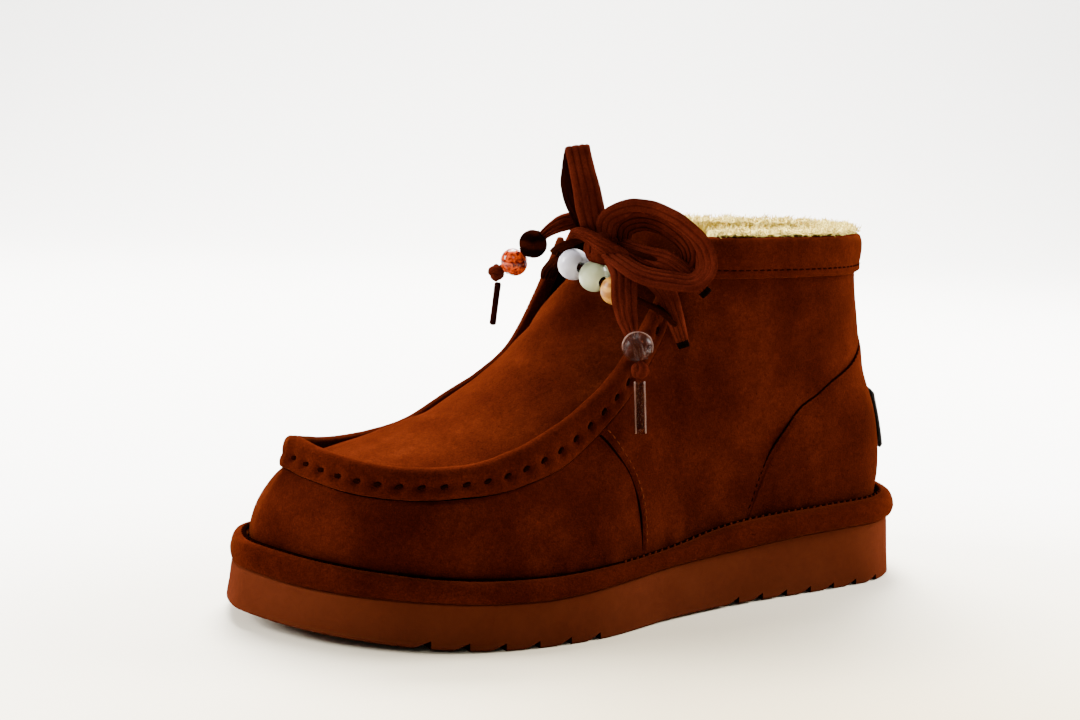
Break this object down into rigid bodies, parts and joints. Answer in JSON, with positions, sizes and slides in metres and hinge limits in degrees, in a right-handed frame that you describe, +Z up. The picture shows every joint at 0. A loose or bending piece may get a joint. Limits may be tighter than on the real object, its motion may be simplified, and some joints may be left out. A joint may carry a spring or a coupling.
{
  "type": "mukluk boot",
  "caption": "Ankle-high moccasin boot for the left foot with a raised moc seam, fleece collar, wrapped sole edge and beaded lace.",
  "frame": {"origin": "on the floor under the middle of the boot's box, the loose laces left out", "axes": "+X towards the toe, +Y to the wearer's left (the outer side), +Z up"},
  "size_m": [0.2664, 0.118, 0.163],
  "materials": {
    "sole rubber": "matt foam rubber",
    "band suede": "rolled suede over the sole's edge",
    "upper suede": "napped suede",
    "rim suede": "napped suede",
    "plug suede": "napped suede",
    "binding suede": "napped suede",
    "fleece": "deep curly fleece",
    "insole fleece": "short fleece",
    "dark patch": "smooth",
    "lace": "flat suede lace",
    "aglet": "clear brown sleeve",
    "white bead": "glossy",
    "pale bead": "glossy",
    "tan bead": "satin",
    "dark bead": "polished",
    "amber bead": "see-through",
    "smoky bead": "see-through"
  },
  "bodies": {
    "root": {"outsole": "sole rubber", "wrap_band": "band suede", "upper": "upper suede", "moc_rim": "rim suede", "plug_tongue": "plug suede", "collar_binding": "binding suede", "fleece_lining": "fleece", "insole": "insole fleece", "heel_label": "dark patch", "lace_crossings": "lace", "lace_knot": "lace", "lace_loop_up": "lace", "lace_loop_side": "lace", "lace_end_left": "lace", "lace_end_front": "lace", "lace_end_lower": "lace", "lace_end_upper": "lace", "end_knot_left": "lace", "end_knot_front": "lace", "aglet_left": "aglet", "aglet_front": "aglet", "bead_white": "white bead", "bead_pale": "pale bead", "bead_tan": "tan bead", "bead_dark": "dark bead", "bead_amber": "amber bead", "bead_clear": "smoky bead"}
  },
  "joints": []
}
